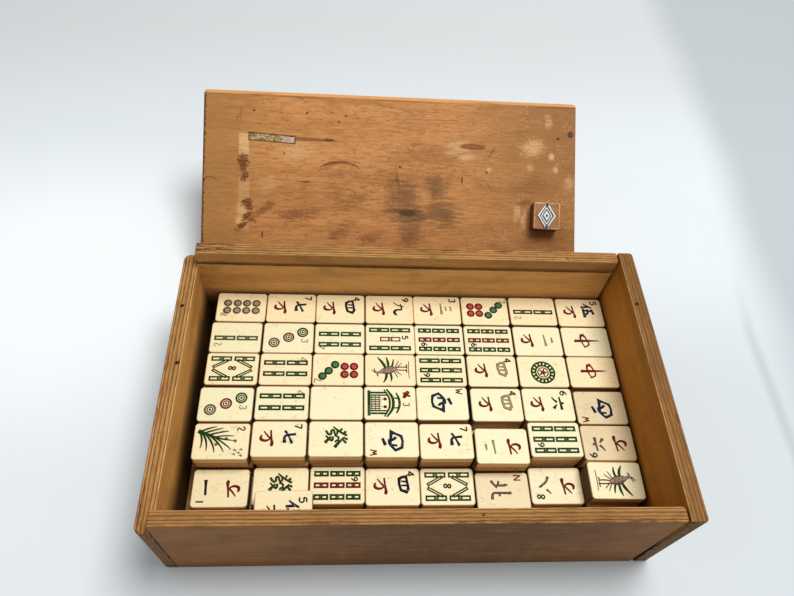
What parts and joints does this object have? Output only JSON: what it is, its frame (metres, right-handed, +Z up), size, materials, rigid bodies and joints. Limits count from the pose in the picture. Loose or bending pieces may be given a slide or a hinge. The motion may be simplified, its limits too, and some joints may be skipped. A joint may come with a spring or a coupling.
{
  "type": "mahjong set case",
  "caption": "Open plywood case of bone-and-bamboo mahjong tiles in layers, with its sliding bevelled lid, square knob and lozenge badge leaning behind it.",
  "frame": {"origin": "middle of the underside of the case, on the table", "axes": "+X along the case to the right, +Y to the back where the lid leans, +Z up"},
  "size_m": [0.2692, 0.2881, 0.0845],
  "materials": {
    "case_plywood": "worn brown varnish, bare plies on the edges",
    "lid_wood": "scratched honey-brown varnish",
    "knob_wood": "brown varnish, worn pale at the edges",
    "badge_metal": "stamped, bright rim and dull grey field",
    "nail_steel": "darkened with age",
    "bone": "polished ivory-coloured bone",
    "bamboo": "brown bamboo, satin"
  },
  "bodies": {
    "case": {"front_wall": "case_plywood", "back_wall": "case_plywood", "left_end_wall": "case_plywood", "right_end_wall": "case_plywood", "bottom_panel": "case_plywood", "wall_nails": "nail_steel", "bottom_nails": "nail_steel"},
    "lid": {"lid_panel": "lid_wood", "lid_nail": "nail_steel", "knob_block": "knob_wood", "knob_screws": "nail_steel", "badge_plate": "badge_metal", "badge_nails": "badge_metal"},
    "bottom_layer": {"bottom_layer_faces": "bone", "bottom_layer_backs": "bamboo", "edge_tiles_faces": "bone", "edge_tiles_backs": "bamboo"},
    "middle_layer": {"middle_layer_faces": "bone", "middle_layer_backs": "bamboo"},
    "front_row": {"front_row_faces": "bone", "front_row_backs": "bamboo"},
    "top_row_1": {"top_row_1_faces": "bone", "top_row_1_backs": "bamboo"},
    "top_row_2": {"top_row_2_faces": "bone", "top_row_2_backs": "bamboo"},
    "top_row_3": {"top_row_3_faces": "bone", "top_row_3_backs": "bamboo"},
    "top_row_4": {"top_row_4_faces": "bone", "top_row_4_backs": "bamboo"},
    "top_row_5": {"top_row_5_faces": "bone", "top_row_5_backs": "bamboo"},
    "loose_tile": {"loose_tile_faces": "bone", "loose_tile_backs": "bamboo"},
    "corner_tile": {"corner_tile_faces": "bone", "corner_tile_backs": "bamboo"}
  },
  "joints": [
    {"name": "lid_tilt", "type": "hinge", "parent": "case", "child": "lid", "pos_m": [0, 0.0826, 0], "axis": [1, 0, 0], "range_deg": [-33, 0]},
    {"name": "bottom_layer_lift", "type": "slide", "parent": "case", "child": "bottom_layer", "axis": [0, 0, 1], "range_m": [0, 0.075]},
    {"name": "middle_layer_lift", "type": "slide", "parent": "bottom_layer", "child": "middle_layer", "axis": [0, 0, 1], "range_m": [0, 0.062]},
    {"name": "front_row_lift", "type": "slide", "parent": "bottom_layer", "child": "front_row", "axis": [0, 0, 1], "range_m": [0, 0.062]},
    {"name": "top_row_1_lift", "type": "slide", "parent": "middle_layer", "child": "top_row_1", "axis": [0, 0, 1], "range_m": [0, 0.052]},
    {"name": "top_row_2_lift", "type": "slide", "parent": "middle_layer", "child": "top_row_2", "axis": [0, 0, 1], "range_m": [0, 0.052]},
    {"name": "top_row_3_lift", "type": "slide", "parent": "middle_layer", "child": "top_row_3", "axis": [0, 0, 1], "range_m": [0, 0.052]},
    {"name": "top_row_4_lift", "type": "slide", "parent": "middle_layer", "child": "top_row_4", "axis": [0, 0, 1], "range_m": [0, 0.052]},
    {"name": "top_row_5_lift", "type": "slide", "parent": "middle_layer", "child": "top_row_5", "axis": [0, 0, 1], "range_m": [0, 0.052]},
    {"name": "corner_tile_lift", "type": "slide", "parent": "front_row", "child": "corner_tile", "axis": [0, 0, 1], "range_m": [0, 0.05]},
    {"name": "loose_tile_lift", "type": "slide", "parent": "front_row", "child": "loose_tile", "axis": [0, 0, 1], "range_m": [0, 0.05]}
  ]
}
